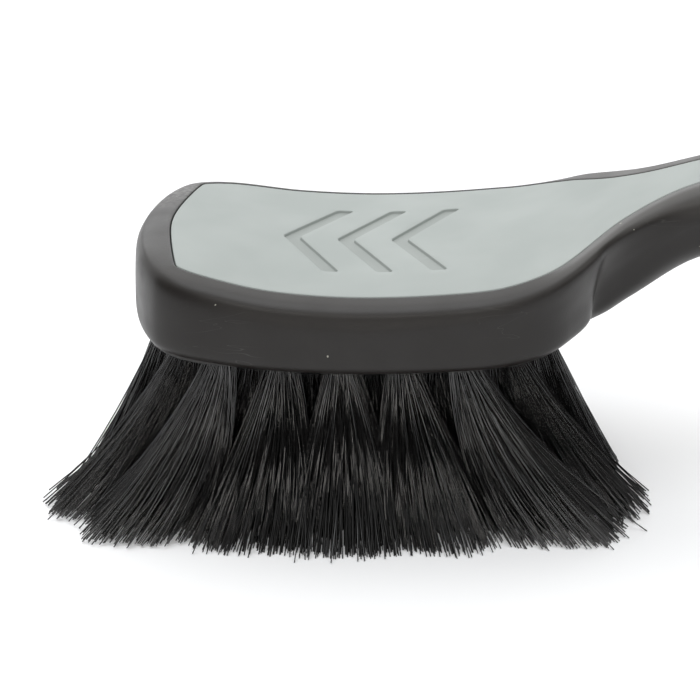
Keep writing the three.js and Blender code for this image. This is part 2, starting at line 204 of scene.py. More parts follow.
def roundAt(x):
    onGrip = mix(bodyLines["gripRound"], bodyLines["endRound"], ease(x, handleEnd - 50, handleEnd - 24))
    return mix(bodyLines["edgeRound"], onGrip, ease(x, headRear - 9, headRear + 22)) + 0.4


def flatRim(x):
    return ease(x, headRear - 12, headRear + 1)


def seamLine(out):
    # the inlay's edge along one side, moved out from it, then on along the middle of the handle to its end
    line = planLine(1, lambda x: rimAt(x) - out)
    endX, tip = bodyLines["inlayEnd"] + out, bodyLines["inlayTip"]
    tailStart = int(np.searchsorted(shoulderLine[:, 0], bodyLines["inlayEnd"] - tip))
    tailEnd = int(np.searchsorted(shoulderLine[:, 0], bodyLines["inlayEnd"]))
    edge = line[tailStart - 1].copy()
    turn = [edge, (mix(edge[0], endX, 0.55), edge[1] + 0.2), (endX, edge[1] * 0.6), (endX, 0)]
    line[tailStart - 1:tailEnd + 1] = sampleCurve([turn], tailEnd - tailStart + 1)
    line[tailEnd + 1:, 1] = 0
    line[tailEnd + 1:, 0] = np.maximum(line[tailEnd + 1:, 0], endX)
    return line, tailEnd


def placeMesh(name, vertices, faces, smoothAngle=40):
    # vertices in mm from the middle of the head; doubles are merged, faces turned outwards
    mesh = bpy.data.meshes.new(name)
    shifted = (np.asarray(vertices, float) + (headMiddle, 0, 0)) * mm
    mesh.from_pydata([tuple(v) for v in shifted], [], [tuple(f) for f in faces])
    work = bmesh.new()
    work.from_mesh(mesh)
    bmesh.ops.remove_doubles(work, verts=work.verts, dist=2e-7)
    bmesh.ops.dissolve_degenerate(work, edges=work.edges, dist=1e-7)
    loose = [v for v in work.verts if not v.link_faces]
    bmesh.ops.delete(work, geom=loose, context="VERTS")
    bmesh.ops.recalc_face_normals(work, faces=work.faces)
    work.to_mesh(mesh)
    work.free()
    mesh.shade_smooth()
    mesh.set_sharp_from_angle(angle=math.radians(smoothAngle))
    piece = bpy.data.objects.new(name, mesh)
    scene.collection.objects.link(piece)
    return piece


def finishPiece(piece, material, slot, *nodes):
    piece.data.materials.clear()
    piece.data.materials.append(material)
    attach(piece, "root")
    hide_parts(*nodes)
    return piece


# short ways to place and join nodes
def addNode(tree, kind, at=(0, 0), **settings):
    node = tree.nodes.new(kind)
    node.location = at
    for key, value in settings.items():
        setattr(node, key, value)
    return node


def feed(tree, socket, value):
    if isinstance(value, bpy.types.NodeSocket):
        tree.links.new(value, socket)
    elif value is not None:
        socket.default_value = value


def math1(tree, operation, *values):
    node = addNode(tree, "ShaderNodeMath", operation=operation)
    for k, value in enumerate(values):
        feed(tree, node.inputs[k], value)
    return node.outputs[0]


def vector1(tree, operation, *values, scale=None):
    node = addNode(tree, "ShaderNodeVectorMath", operation=operation)
    for k, value in enumerate(values):
        feed(tree, node.inputs[k], value)
    if scale is not None:
        feed(tree, node.inputs["Scale"], scale)
    return node.outputs["Value" if operation in ("LENGTH", "DOT_PRODUCT", "DISTANCE") else "Vector"]


def mapValue(tree, value, fromLow, fromHigh, toLow=0.0, toHigh=1.0, smooth=False):
    node = addNode(tree, "ShaderNodeMapRange", interpolation_type="SMOOTHSTEP" if smooth else "LINEAR")
    values = (value, fromLow, fromHigh, toLow, toHigh)
    for key, item in zip(("Value", "From Min", "From Max", "To Min", "To Max"), values):
        feed(tree, node.inputs[key], item)
    return node.outputs["Result"]


def mixColor(tree, share, a, b, blend="MIX"):
    node = addNode(tree, "ShaderNodeMix", data_type="RGBA", blend_type=blend)
    feed(tree, node.inputs["Factor"], share)
    feed(tree, node.inputs[6], a)
    feed(tree, node.inputs[7], b)
    return node.outputs[2]


def noise(tree, place, scale, detail=3.0, rough=0.5, warp=0.0, output="Fac"):
    node = addNode(tree, "ShaderNodeTexNoise")
    feed(tree, node.inputs["Vector"], place)
    for key, item in (("Scale", scale), ("Detail", detail), ("Roughness", rough), ("Distortion", warp)):
        feed(tree, node.inputs[key], item)
    return node.outputs[output]


def startGroup(name, inputs, outputs):
    tree = bpy.data.node_groups.new(name, "ShaderNodeTree")
    for label, kind, value in inputs:
        socket = tree.interface.new_socket(name=label, in_out="INPUT", socket_type=kind)
        if value is not None:
            socket.default_value = value
    for label, kind in outputs:
        tree.interface.new_socket(name=label, in_out="OUTPUT", socket_type=kind)
    return tree, addNode(tree, "NodeGroupInput").outputs, addNode(tree, "NodeGroupOutput").inputs


def useGroup(tree, group, **values):
    node = addNode(tree, "ShaderNodeGroup", node_tree=group)
    for key, value in values.items():
        feed(tree, node.inputs[key.replace("_", " ")], value)
    return node.outputs


# fine moulded grain: a height and a matching mask
grainGroup, gin, gout = startGroup(
    "mouldedGrain",
    [("Place", "NodeSocketVector", None), ("Grain Scale", "NodeSocketFloat", 2600.0),
     ("Wave Scale", "NodeSocketFloat", 160.0), ("Wave Share", "NodeSocketFloat", 0.35)],
    [("Height", "NodeSocketFloat"), ("Mask", "NodeSocketFloat")])
fine = noise(grainGroup, gin["Place"], gin["Grain Scale"], 2.0, 0.6)
slow = noise(grainGroup, gin["Place"], gin["Wave Scale"], 2.0, 0.5)
both = math1(grainGroup, "ADD", fine, math1(grainGroup, "MULTIPLY", slow, gin["Wave Share"]))
feed(grainGroup, gout["Height"], both)
feed(grainGroup, gout["Mask"], slow)

# dust: pale specks and soft smudges
dustGroup, din, dout = startGroup(
    "settledDust",
    [("Place", "NodeSocketVector", None), ("Speck Scale", "NodeSocketFloat", 420.0),
     ("Speck Share", "NodeSocketFloat", 0.3), ("Smudge Scale", "NodeSocketFloat", 38.0),
     ("Smudge Share", "NodeSocketFloat", 0.3)],
    [("Specks", "NodeSocketFloat"), ("Smudge", "NodeSocketFloat")])
cells = addNode(dustGroup, "ShaderNodeTexVoronoi", feature="F1")
jitter = noise(dustGroup, din["Place"], 900.0, 1.0, output="Color")
feed(dustGroup, cells.inputs["Vector"], vector1(
    dustGroup, "ADD", din["Place"], vector1(dustGroup, "SCALE", jitter, scale=0.0006)))
feed(dustGroup, cells.inputs["Scale"], din["Speck Scale"])
pick = addNode(dustGroup, "ShaderNodeSeparateColor")
feed(dustGroup, pick.inputs[0], cells.outputs["Color"])
rare = math1(dustGroup, "LESS_THAN", pick.outputs[0], math1(dustGroup, "MULTIPLY", din["Speck Share"], 0.2))
size = mapValue(dustGroup, pick.outputs[1], 0.0, 1.0, 0.03, 0.11)
dot = mapValue(dustGroup, math1(dustGroup, "DIVIDE", cells.outputs["Distance"], size), 0.6, 1.0, 1.0, 0.0)
feed(dustGroup, dout["Specks"], math1(dustGroup, "MULTIPLY", dot, rare))
cloud = noise(dustGroup, din["Place"], din["Smudge Scale"], 5.0, 0.6, 0.4)
smudge = mapValue(dustGroup, cloud, 0.5, 0.75, smooth=True)
feed(dustGroup, dout["Smudge"], math1(dustGroup, "MULTIPLY", smudge, din["Smudge Share"]))

# hairline scratches: thin breaks in a stretched noise
scratchGroup, hin, hout = startGroup(
    "hairScratches",
    [("Place", "NodeSocketVector", None), ("Scale", "NodeSocketFloat", 60.0),
     ("Stretch", "NodeSocketVector", (0.12, 1.0, 1.6)), ("Share", "NodeSocketFloat", 0.5)],
    [("Lines", "NodeSocketFloat")])
stretched = vector1(scratchGroup, "MULTIPLY", hin["Place"], hin["Stretch"])
strand = noise(scratchGroup, stretched, hin["Scale"], 2.0, 0.4, 0.6)
offMiddle = math1(scratchGroup, "ABSOLUTE", math1(scratchGroup, "SUBTRACT", strand, 0.5))
thin = mapValue(scratchGroup, offMiddle, 0.0, 0.004, 1.0, 0.0)
where = mapValue(scratchGroup, noise(scratchGroup, hin["Place"], 55.0, 2.0), 0.56, 0.66)
broken = math1(scratchGroup, "MULTIPLY", thin, where)
feed(scratchGroup, hout["Lines"], math1(scratchGroup, "MULTIPLY", broken, hin["Share"]))


def startMaterial(name):
    material = bpy.data.materials.new(name)
    material.use_nodes = True
    tree = material.node_tree
    shader = tree.nodes["Principled BSDF"]
    place = addNode(tree, "ShaderNodeTexCoord", (-1400, 0)).outputs["Object"]
    return material, tree, shader, place


def bumpOn(tree, shader, height, strength, distance):
    node = addNode(tree, "ShaderNodeBump")
    node.inputs["Strength"].default_value = strength
    node.inputs["Distance"].default_value = distance
    feed(tree, node.inputs["Height"], height)
    tree.links.new(node.outputs["Normal"], shader.inputs["Normal"])


gripFinish = {
    "color": (0.0110, 0.0088, 0.0076, 1),
    "worn": (0.022, 0.0195, 0.018, 1),
    "dust": (0.30, 0.29, 0.275, 1),
    "speck": (0.55, 0.54, 0.46, 1),
    "rough": 0.38,
    "roughSpread": 0.05,
    "smudgeRough": 0.12,  # added under a smudge
    "gleam": 0.42,
    "upSheen": (0.09, 0.30),  # painted sheen in the dust colour on what faces up: on the head, on the handle
    "patch": 0.8,         # scuff at the nose's far corner
    "scratches": 0.28,
    "specks": 0.8,
}


def makeGripMaterial():
    material, tree, shader, place = startMaterial("softBlackGrip")
    grain = useGroup(tree, grainGroup, Place=place, Grain_Scale=2300.0, Wave_Scale=120.0, Wave_Share=0.5)
    dust = useGroup(tree, dustGroup, Place=place, Speck_Scale=300.0, Speck_Share=0.5,
                    Smudge_Scale=34.0, Smudge_Share=0.6)
    lines = useGroup(tree, scratchGroup, Place=place, Scale=170.0, Share=0.35)["Lines"]
    normal = addNode(tree, "ShaderNodeNewGeometry").outputs["Normal"]
    up = addNode(tree, "ShaderNodeSeparateXYZ")
    feed(tree, up.inputs[0], normal)
    facingUp = mapValue(tree, up.outputs["Z"], 0.1, 0.85, smooth=True)
    body = mixColor(tree, dust["Smudge"], gripFinish["color"], gripFinish["worn"])
    spot = addNode(tree, "ShaderNodeSeparateXYZ")
    feed(tree, spot.inputs[0], place)
    noseX = (headMiddle + nose) * mm
    onNose = mapValue(tree, spot.outputs["X"], noseX + 0.004, noseX + 0.016, 1.0, 0.0)
    farSide = mapValue(tree, spot.outputs["Y"], 0.006, 0.022)
    scuffed = math1(tree, "MULTIPLY", math1(tree, "MULTIPLY", onNose, farSide), facingUp)
    patch = math1(tree, "MULTIPLY", scuffed, mapValue(tree, noise(tree, place, 900.0, 4.0, 0.7), 0.42, 0.62))
    neckX = (headMiddle + headRear) * mm
    # painted sheen: surfaces facing up are lightened with the dust colour, more on the handle than on the head
    onHead, onGrip = gripFinish["upSheen"]
    upSheenShare = mapValue(tree, spot.outputs["X"], neckX - 0.012, neckX + 0.004, onHead, onGrip, smooth=True)
    upSheen = math1(tree, "MULTIPLY", facingUp, upSheenShare)
    body = mixColor(tree, upSheen, body, gripFinish["dust"])
    layers = ((patch, "patch", "dust"), (lines, "scratches", "dust"), (dust["Specks"], "specks", "speck"))
    for mask, share, tone in layers:
        body = mixColor(tree, math1(tree, "MULTIPLY", mask, gripFinish[share]), body, gripFinish[tone])
    feed(tree, shader.inputs["Base Color"], body)
    shader.inputs["Specular IOR Level"].default_value = gripFinish["gleam"]
    rough, spread = gripFinish["rough"], gripFinish["roughSpread"]
    grained = mapValue(tree, grain["Mask"], 0.3, 0.7, rough - spread, rough + spread)
    smudged = math1(tree, "MULTIPLY", dust["Smudge"], gripFinish["smudgeRough"])
    feed(tree, shader.inputs["Roughness"], math1(tree, "ADD", grained, smudged))
    height = math1(tree, "SUBTRACT", grain["Height"], math1(tree, "MULTIPLY", lines, 0.8))
    bumpOn(tree, shader, height, 0.25, 0.00008)
    return material


inlayFinish = {
    "color": (0.405, 0.437, 0.417, 1),
    "shade": (0.388, 0.420, 0.401, 1),
    "speck": (0.62, 0.64, 0.60, 1),
    # dark colour for specks and scratches, also used as painted shade in the sunk chevrons
    "grimeAndShade": (0.18, 0.19, 0.175, 1),
    "rough": (0.57, 0.68),
}


def makeInlayMaterial():
    material, tree, shader, place = startMaterial("softGreyInlay")
    grain = useGroup(tree, grainGroup, Place=place, Grain_Scale=1700.0, Wave_Scale=70.0, Wave_Share=0.6)
    dust = useGroup(tree, dustGroup, Place=place, Speck_Scale=260.0, Speck_Share=0.12,
                    Smudge_Scale=26.0, Smudge_Share=0.6)
    lines = useGroup(tree, scratchGroup, Place=place, Scale=50.0, Stretch=(0.2, 0.9, 1.0), Share=0.35)["Lines"]
    mottle = mapValue(tree, grain["Mask"], 0.35, 0.65)
    body = mixColor(tree, mottle, inlayFinish["color"], inlayFinish["shade"])
    body = mixColor(tree, math1(tree, "MULTIPLY", dust["Smudge"], 0.06), body, inlayFinish["speck"])
    body = mixColor(tree, math1(tree, "MULTIPLY", dust["Specks"], 0.4), body, inlayFinish["grimeAndShade"])
    body = mixColor(tree, math1(tree, "MULTIPLY", lines, 0.15), body, inlayFinish["grimeAndShade"])
    # painted shade: the sunk chevrons get darker with their depth
    sunk = addNode(tree, "ShaderNodeAttribute", attribute_name="sunk").outputs["Fac"]
    body = mixColor(tree, math1(tree, "MULTIPLY", sunk, 0.3), body, inlayFinish["grimeAndShade"])
    feed(tree, shader.inputs["Base Color"], body)
    feed(tree, shader.inputs["Roughness"], mapValue(tree, grain["Mask"], 0.3, 0.7, *inlayFinish["rough"]))
    bumpOn(tree, shader, grain["Height"], 0.3, 0.00006)
    return material


coreFinish = {
    "color": (0.016, 0.0155, 0.015, 1),
    "pale": (0.026, 0.025, 0.024, 1),
    "rough": (0.36, 0.48),
}


def makeCoreMaterial():
    material, tree, shader, place = startMaterial("hardBlackCore")
    grain = useGroup(tree, grainGroup, Place=place, Grain_Scale=1500.0, Wave_Scale=90.0, Wave_Share=0.5)
    body = mixColor(tree, grain["Mask"], coreFinish["color"], coreFinish["pale"])
    feed(tree, shader.inputs["Base Color"], body)
    feed(tree, shader.inputs["Roughness"], mapValue(tree, grain["Mask"], 0.3, 0.7, *coreFinish["rough"]))
    bumpOn(tree, shader, grain["Height"], 0.2, 0.00005)
    return material


anchorFinish = {
    "color": (0.50, 0.49, 0.46, 1),
    "pale": (0.68, 0.67, 0.63, 1),
    "rough": (0.28, 0.42),
    "streak": (1.0, 1.0, 12.0),  # squeezes the drawn lines along the wire
}


def makeAnchorMaterial():
    material, tree, shader, place = startMaterial("anchorWire")
    drawn = noise(tree, vector1(tree, "MULTIPLY", place, anchorFinish["streak"]), 900.0, 3.0, 0.6)
    shader.inputs["Metallic"].default_value = 1.0
    feed(tree, shader.inputs["Base Color"], mixColor(tree, drawn, anchorFinish["color"], anchorFinish["pale"]))
    feed(tree, shader.inputs["Roughness"], mapValue(tree, drawn, 0.3, 0.7, *anchorFinish["rough"]))
    bumpOn(tree, shader, drawn, 0.2, 0.00003)
    return material


filamentFinish = {"color": (0.005, 0.0048, 0.0046, 1), "rough": 0.14, "index": 1.6, "gleam": 1.0}


def makeFilamentMaterial():
    material, shader = startMaterial("blackFilament")[::2]
    shader.inputs["Base Color"].default_value = filamentFinish["color"]
    shader.inputs["Roughness"].default_value = filamentFinish["rough"]
    shader.inputs["IOR"].default_value = filamentFinish["index"]
    shader.inputs["Specular IOR Level"].default_value = filamentFinish["gleam"]
    return material


gripMaterial, inlayMaterial = makeGripMaterial(), makeInlayMaterial()
coreMaterial, anchorMaterial = makeCoreMaterial(), makeAnchorMaterial()
filamentMaterial = makeFilamentMaterial()
report("materials")


# soft black overmould, in mm
gripShape = {
    "between": 5,        # fine rows from one profile row to the next
    "seamRound": 0.45,
    "pocket": 2.5,       # depth of the inlay's recess
    "skin": 2.5,
    "padMiddle": -2.5,   # the tufting face: its middle, half length, half width, corners
    "padReach": 42.1,
    "padSide": 28.8,
    "padRound": 16.0,
}


def padEdge(count):
    reach, side, turn = gripShape["padReach"], gripShape["padSide"], gripShape["padRound"]
    left, right, low = gripShape["padMiddle"] - reach, gripShape["padMiddle"] + reach, side - turn
    pull = turn * 0.5523  # makes the curve follow a quarter circle
    near, far = gripShape["padMiddle"] - 9, gripShape["padMiddle"] + 9
    return sampleCurve([
        [(left, 0), (left, 4), (left, low - 4), (left, low)],
        [(left, low), (left, low + pull), (left + turn - pull, side), (left + turn, side)],
        [(left + turn, side), (near, side), (far, side), (right - turn, side)],
        [(right - turn, side), (right - turn + pull, side), (right, low + pull), (right, low)],
        [(right, low), (right, low - 4), (right, 4), (right, 0)],
    ], count)


def makeGrip():
    # profile rows from the lower edge to the border's top, then smoothed between
    rows = []

    def row(share, inset, height):
        line = planLine(share, inset)
        rows.append(np.column_stack([line, height(line[:, 0], line[:, 1])]))

    wallFoot = lambda x: keel(x) + roundAt(x)
    row(0, lambda x: roundAt(x) + 1.2, lambda x, y: keel(x))
    row(0, lambda x: roundAt(x), lambda x, y: keel(x))
    row(0, lambda x: 0.5 * roundAt(x), lambda x, y: keel(x) + 0.12 * roundAt(x))
    row(0, lambda x: 0.13 * roundAt(x), lambda x, y: keel(x) + 0.48 * roundAt(x))
    row(0.02, lambda x: -0.2 * onHandle(x), lambda x, y: wallFoot(x))
    row(0.2, lambda x: mix(0.1, -0.6, onHandle(x)), lambda x, y: mix(wallFoot(x), ridge(x) - 4, 0.33))
    row(0.5, lambda x: mix(0.3, -0.5, onHandle(x)), lambda x, y: mix(wallFoot(x), ridge(x) - 4, 0.66))
    row(0.8, lambda x: mix(0.7, 0.15, flatRim(x)), lambda x, y: topAt(x, y) - mix(3.9, 3.0, flatRim(x)))
    row(0.93, lambda x: mix(1.5, 1.3, flatRim(x)), lambda x, y: topAt(x, y) - mix(1.9, 1.15, flatRim(x)))
    row(1, lambda x: mix(3, 2.9, flatRim(x)), lambda x, y: topAt(x, y) - mix(0.7, 0.05, flatRim(x)))
    seam = gripShape["seamRound"]
    line, tailEnd = seamLine(seam)
    rows.append(np.column_stack([line, topAt(line[:, 0], line[:, 1])]))
    rows = np.array(rows)
    fineRows = [rows[0]]
    for k in range(1, len(rows) - 1):
        before, after = rows[k - 1], rows[min(k + 2, len(rows) - 1)]
        a, b = rows[k], rows[k + 1]
        for s in range(gripShape["between"]):
            t = s / gripShape["between"]
            fineRows.append(0.5 * (2 * a + (b - before) * t + (2 * before - 5 * a + 4 * b - after) * t * t
                                   + (3 * a - before - 3 * b + after) * t ** 3))
    fineRows.append(rows[-1])
    openFrom = len(fineRows) - 1  # from here the rows are the seam's own and stop at the inlay's end
    for out, fall in ((seam * 0.55, 0.12), (seam * 0.2, 0.4), (0.05, 0.9), (0.0, 1.6)):
        line, tailEnd = seamLine(out)
        fineRows.append(np.column_stack([line, topAt(line[:, 0], line[:, 1]) - seam * fall]))
    line, tailEnd = seamLine(0.0)
    fineRows.append(np.column_stack([line, topAt(line[:, 0], line[:, 1]) - gripShape["pocket"]]))
    # lower mouth round the tufting face, then along the middle of the handle
    padEnd = int(np.searchsorted(footLine[:, 0], headRear + 1))
    mouth = footLine.copy()
    mouth[:padEnd + 1] = padEdge(padEnd)
    mouth[padEnd:, 1] = 0
    mouth[padEnd:, 0] = np.linspace(mouth[padEnd, 0], handleEnd - 4, len(mouth) - padEnd)
    lowMouth = np.column_stack([mouth, keel(mouth[:, 0])])
    highMouth = lowMouth + (0, 0, gripShape["skin"])
    fineRows = [highMouth, lowMouth] + fineRows
    openFrom += 2
    vertices, faces = [], []
    last = len(footLine) - 1
    for line in fineRows:
        mirrored = line[1:-1][::-1] * (1, -1, 1)
        vertices.append(np.concatenate([line, mirrored]))
    around = 2 * last
    total = len(fineRows)
    for j in range(total):
        k = (j + 1) % total
        for i in range(around):
            side = i if i < last else around - 1 - i
            if j == 0 and side >= padEnd:
                continue
            if j >= openFrom and side >= tailEnd:
                continue
            n = (i + 1) % around
            faces.append((j * around + i, j * around + n, k * around + n, k * around + i))
    return placeMesh("gripOvermould", np.concatenate(vertices), faces, 50)


def cutWith(piece, cutter):
    modifier = piece.modifiers.new("cut", "BOOLEAN")
    modifier.operation, modifier.solver, modifier.object = "DIFFERENCE", "EXACT", cutter
    bpy.context.view_layer.update()
    done = piece.evaluated_get(bpy.context.evaluated_depsgraph_get())
    result = bpy.data.meshes.new_from_object(done)
    piece.modifiers.clear()
    piece.data = result
    bpy.data.objects.remove(cutter)


def roundBar(name, x, radius, low, high, sides=72):
    turn = np.linspace(0, 2 * np.pi, sides, endpoint=False)
    circle = np.column_stack([x + radius * np.cos(turn), radius * np.sin(turn)])
    vertices = np.concatenate([np.column_stack([circle, np.full(sides, level)]) for level in (low, high)])
    faces = [(i, (i + 1) % sides, sides + (i + 1) % sides, sides + i) for i in range(sides)]
    faces += [tuple(range(sides))[::-1], tuple(range(sides, 2 * sides))]
    return placeMesh(name, vertices, faces)


grip = makeGrip()
cutWith(grip, roundBar("hangCutter", bodyLines["hangX"], bodyLines["hangRing"], headBase, headTop + 60))
grip.data.shade_smooth()
grip.data.set_sharp_from_angle(angle=math.radians(50))
finishPiece(grip, gripMaterial, "overmould", "grip_overmould")
report(f"overmould, {len(grip.data.polygons)} faces")


# soft grey inlay with three sunk chevrons, in mm
inlayShape = {"gap": 0.12, "edge": 0.35, "thick": 2.2, "grid": 1.6}
markShape = {
    "depth": 0.6,
    "bar": 3.4,          # width of an arm
    "pitch": 11.5,
    "reach": 17.0,       # half the width of a chevron
    "sweep": 10.0,
    "corner": 0.9,
    "softness": 0.2,     # half the width of the sunk walls
}


# a chevron's soft wall: how far out and how deep, as shares of softness and depth
markWall = ((1, 0.0), (0.62, 0.06), (0.3, 0.24), (0.0, 0.5), (-0.3, 0.76), (-0.62, 0.94), (-1, 1.0))


def roundedLoop(corners, radius, arcSteps=5, spacing=0.8):
    points = []
    count = len(corners)
    for k in range(count):
        here, before, after = (np.array(corners[j % count], float) for j in (k, k - 1, k + 1))
        toBefore, toAfter = before - here, after - here
        reach = min(radius, 0.45 * np.linalg.norm(toBefore), 0.45 * np.linalg.norm(toAfter))
        a = here + toBefore / np.linalg.norm(toBefore) * reach
        b = here + toAfter / np.linalg.norm(toAfter) * reach
        for s in range(arcSteps + 1):
            t = s / arcSteps
            points.append(a * (1 - t) ** 2 + here * 2 * t * (1 - t) + b * t * t)
    points = np.array(points)
    dense = []
    for k in range(len(points)):
        a, b = points[k], points[(k + 1) % len(points)]
        parts = max(1, int(np.linalg.norm(b - a) / spacing))
        dense += [a + (b - a) * s / parts for s in range(parts)]
    return np.array(dense)


def grownLoop(loop, out):
    ahead, behind = np.roll(loop, -1, axis=0), np.roll(loop, 1, axis=0)
    along = ahead - behind
    along /= np.linalg.norm(along, axis=1)[:, None]
    area = 0.5 * np.sum(loop[:, 0] * ahead[:, 1] - ahead[:, 0] * loop[:, 1])
    outward = np.stack([along[:, 1], -along[:, 0]], -1) * (1 if area > 0 else -1)
    return loop + outward * out


def insideLoop(points, loop):
    x, y = points[:, 0], points[:, 1]
    inside = np.zeros(len(points), bool)
    ax, ay = loop[:, 0], loop[:, 1]
    bx, by = np.roll(ax, -1), np.roll(ay, -1)
    for k in range(len(loop)):
        crosses = (ay[k] > y) != (by[k] > y)
        with np.errstate(divide="ignore", invalid="ignore"):
            at = (bx[k] - ax[k]) * (y - ay[k]) / (by[k] - ay[k]) + ax[k]
        inside ^= crosses & (x < at)
    return inside


def markLoops():
    loops = []
    for place in (-1, 0, 1):
        point = place * markShape["pitch"] - markShape["sweep"] / 2
        reach, sweep, bar = markShape["reach"], markShape["sweep"], markShape["bar"]
        corners = [(point, 0), (point + sweep, -reach), (point + sweep + bar, -reach), (point + bar, 0),
                   (point + sweep + bar, reach), (point + sweep, reach)]
        loops.append(roundedLoop(corners, markShape["corner"]))
    return loops


def makeInlay():
    gap, edge, thick = inlayShape["gap"], inlayShape["edge"], inlayShape["thick"]
    loops, heights = [], []
    profile = ((gap, thick), (gap, edge), (gap + 0.1 * edge, 0.6 * edge), (gap + 0.35 * edge, 0.2 * edge),
               (gap + 0.75 * edge, 0.03 * edge), (gap + 1.3 * edge, 0.0))
    for inset, fall in profile:
        line, tailEnd = seamLine(-inset)
        half = line[:tailEnd + 1]
        ring = np.concatenate([half, half[1:-1][::-1] * (1, -1)])
        loops.append(ring)
        heights.append(topAt(ring[:, 0], ring[:, 1]) - fall)
    around = len(loops[0])
    vertices = [np.column_stack([ring, z]) for ring, z in zip(loops, heights)]
    faces = []
    for j in range(len(loops) - 1):
        for i in range(around):
            n = (i + 1) % around
            faces.append((j * around + i, j * around + n, (j + 1) * around + n, (j + 1) * around + i))
    # the upper face, meshed round the chevrons' soft walls
    depth, soft = markShape["depth"], markShape["softness"]
    outer = loops[-1]
    outline = [(i, (i + 1) % around) for i in range(around)]
    flat, sink, edges = [outer], [np.zeros(around)], list(outline)
    count = around
    keepOff = []
    for loop in markLoops():
        for out, fall in markWall:
            ring = grownLoop(loop, out * soft)
            flat.append(ring)
            sink.append(np.full(len(ring), fall * depth))
            edges += [(count + i, count + (i + 1) % len(ring)) for i in range(len(ring))]
            count += len(ring)
        keepOff.append((grownLoop(loop, soft + 0.5), grownLoop(loop, -soft - 0.45)))
    low, high = outer.min(0), outer.max(0)
    step = inlayShape["grid"]
    gx, gy = np.meshgrid(np.arange(low[0], high[0], step), np.arange(low[1], high[1], step))
    gx = gx + (np.arange(gx.shape[0]) % 2)[:, None] * step / 2
    grid = np.stack([gx.ravel(), gy.ravel()], -1)
    shrunk = grownLoop(outer, -0.9)
    grid = grid[insideLoop(grid, shrunk)]
    gridSink = np.zeros(len(grid))
    keep = np.ones(len(grid), bool)
    for wide, narrow in keepOff:
        inWide, inNarrow = insideLoop(grid, wide), insideLoop(grid, narrow)
        keep &= ~inWide | inNarrow
        gridSink[inNarrow] = depth
    flat.append(grid[keep])
    sink.append(gridSink[keep])
    flat, sink = np.concatenate(flat), np.concatenate(sink)
    made = geometry.delaunay_2d_cdt([Vector(p) for p in flat], edges, [], 1, 1e-5)
    capPoints = np.array([tuple(p) for p in made[0]])
    capSink = np.array([sink[origin[0]] if origin else 0.0 for origin in made[3]])
    cap = np.column_stack([capPoints, topAt(capPoints[:, 0], capPoints[:, 1]) - capSink])
    offset = sum(len(v) for v in vertices)
    vertices.append(cap)
    faces += [tuple(offset + i for i in face) for face in made[2]]
    # the underside follows the top
    under = np.concatenate([loops[0], grid[::5]])
    made = geometry.delaunay_2d_cdt([Vector(p) for p in under], outline, [], 1, 1e-5)
    under = np.array([tuple(p) for p in made[0]])
    offset += len(cap)
    vertices.append(np.column_stack([under, topAt(under[:, 0], under[:, 1]) - thick]))
    faces += [tuple(offset + i for i in face) for face in made[2]]
    return placeMesh("topInlay", np.concatenate(vertices), faces, 60)


inlay = makeInlay()
# depth below the top, which the inlay's finish uses to paint shade into the chevrons
sunk = inlay.data.attributes.new("sunk", "FLOAT", "POINT")
spots = np.empty(len(inlay.data.vertices) * 3)
inlay.data.vertices.foreach_get("co", spots)
spots = spots.reshape(-1, 3) / mm - (headMiddle, 0, 0)
depths = (topAt(spots[:, 0], spots[:, 1]) - spots[:, 2]) / markShape["depth"]
sunk.data.foreach_set("value", np.clip(depths, 0, 1))
finishPiece(inlay, inlayMaterial, "inlay", "top_inlay")
report(f"inlay, {len(inlay.data.polygons)} faces")


# tufts of filament, grown by one node tree, in mm
tuftPattern = {
    "rowCounts": [5, 6, 6, 6, 5],
    "rowReach": [0.685, 0.87, 1, 0.87, 0.685],
    "first": nose + 8.7,
    "last": headRear - 13.7,
    "rowEdge": 24.0,
    "padProud": 1.0,
    "noseSpread": [18.0, 20.5, 9.0, 6.0, 7.5],  # row by row, from the -Y side
    "rearSpread": [21.0, 18.0, 6.5, 4.0, 6.0],
    "endPull": 1.1,     # how much more the side rows lean out at both ends
    "sideSpread": 12.5,
    "holeLean": 0.42,
    "noseRaise": 0.4,
}
filamentShape = {
    "count": 640,
    "radius": 0.145,
    "sides": 4,
    "points": 9,
    "rootRadius": 2.65,
    "tipRadius": 10.0,
    "belly": 8.6,       # spread halfway down
    "bellyStretch": (1.1, 0.42, 0.0),
    "stretch": (1.42, 1.0, 0.0),
    "wander": 0.9,
    "tipScatter": 1.7,
    "clump": 0.1,
    "cross": 0.6,      # share of the spread that doesn't follow a filament's place in its hole
    "uneven": 0.35,      # how far the cut ends differ in height
    "seed": 7,
}


def tuftPlaces():
    first, last = tuftPattern["first"], tuftPattern["last"]
    middle, reachAll = (first + last) / 2, (last - first) / 2
    for row, count in enumerate(tuftPattern["rowCounts"]):
        y = (row - 2) * tuftPattern["rowEdge"] / 2
        reach = reachAll * tuftPattern["rowReach"][row]
        for column in range(count):
            x = middle + reach * (2 * column / (count - 1) - 1)
            along, across = (x - middle) / reach, y / tuftPattern["rowEdge"]
            spread = lambda share: share * (0.6 + 0.4 * share * share)
            endSpread = tuftPattern["noseSpread" if along < 0 else "rearSpread"][row]
            pull = 1 + tuftPattern["endPull"] * along * along * (0.8 - abs(across)) * 2
            face = Vector((x, y, float(keel(x)) - tuftPattern["padProud"]))
            tip = Vector((x + endSpread * spread(along),
                          y + tuftPattern["sideSpread"] * spread(across) * pull,
                          tuftPattern["noseRaise"] * float(ease(-along, 0.7, 1))))
            share = tuftPattern["holeLean"]
            lean = Vector(((tip.x - x) * share, (tip.y - y) * share, tip.z - face.z))
            yield f"r{row + 1}_{column + 1}", face, tip, lean.normalized(), along, across


